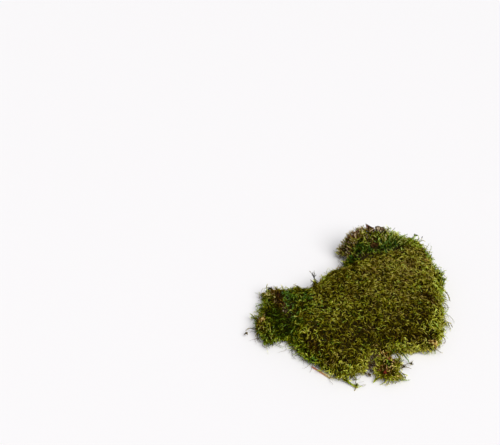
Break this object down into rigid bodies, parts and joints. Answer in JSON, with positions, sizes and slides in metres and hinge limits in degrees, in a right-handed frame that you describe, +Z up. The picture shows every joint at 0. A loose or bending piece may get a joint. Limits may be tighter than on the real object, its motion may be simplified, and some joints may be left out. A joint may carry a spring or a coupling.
{
  "type": "moss clump",
  "caption": "Torn clump of dried sheet moss: a domed mat with a raised fold, a low lobe, a hanging tuft and ragged edges, lying on its flat root side.",
  "frame": {"origin": "middle of the clump's box, in the plane of its flat root side", "axes": "+Z up from the root side, +X to the right and +Y away from the viewer as the clump lies in the picture"},
  "size_m": [0.2142, 0.2228, 0.0401],
  "materials": {
    "moss": "matte tangle of small leafy moss shoots, olive to yellow-green, browner on old and under sides",
    "dead_stalk": "dry reddish-brown plant stalk, dull",
    "bark": "dark brown bark, rough and matte",
    "dead_leaf": "dry tan and brown leaf scrap, matte",
    "husk": "pale cream dry husk, fibrous and matte",
    "red_leaf": "dark red dry leaf scrap, matte"
  },
  "bodies": {
    "root": {"moss_mat": "moss", "dry_stalk": "dead_stalk", "bark_flake": "bark", "bark_strip": "bark", "fold_leaf": "dead_leaf", "corner_leaf": "dead_leaf", "tan_chip": "dead_leaf", "pale_husk": "husk", "pale_chip": "husk", "red_scrap": "red_leaf"}
  },
  "joints": []
}
